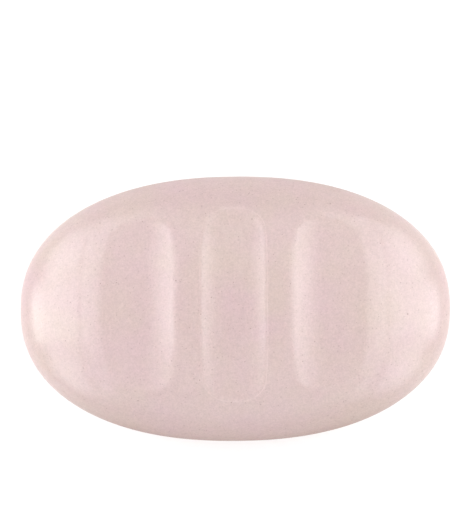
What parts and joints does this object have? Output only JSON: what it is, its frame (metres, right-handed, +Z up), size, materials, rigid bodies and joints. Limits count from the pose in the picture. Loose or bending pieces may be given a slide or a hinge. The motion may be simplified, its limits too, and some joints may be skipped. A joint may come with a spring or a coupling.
{
  "type": "bar of soap",
  "caption": "Oval pressed bar of soap with shallow finger grooves across its domed face and a flat underside to rest on.",
  "frame": {"origin": "middle of the flat underside that the bar rests on", "axes": "+X along the bar's length, +Y across it, +Z up through the grooved face"},
  "size_m": [0.106, 0.0654, 0.0342],
  "materials": {
    "soap": "satin"
  },
  "bodies": {
    "root": {"soap_bar": "soap"}
  },
  "joints": []
}
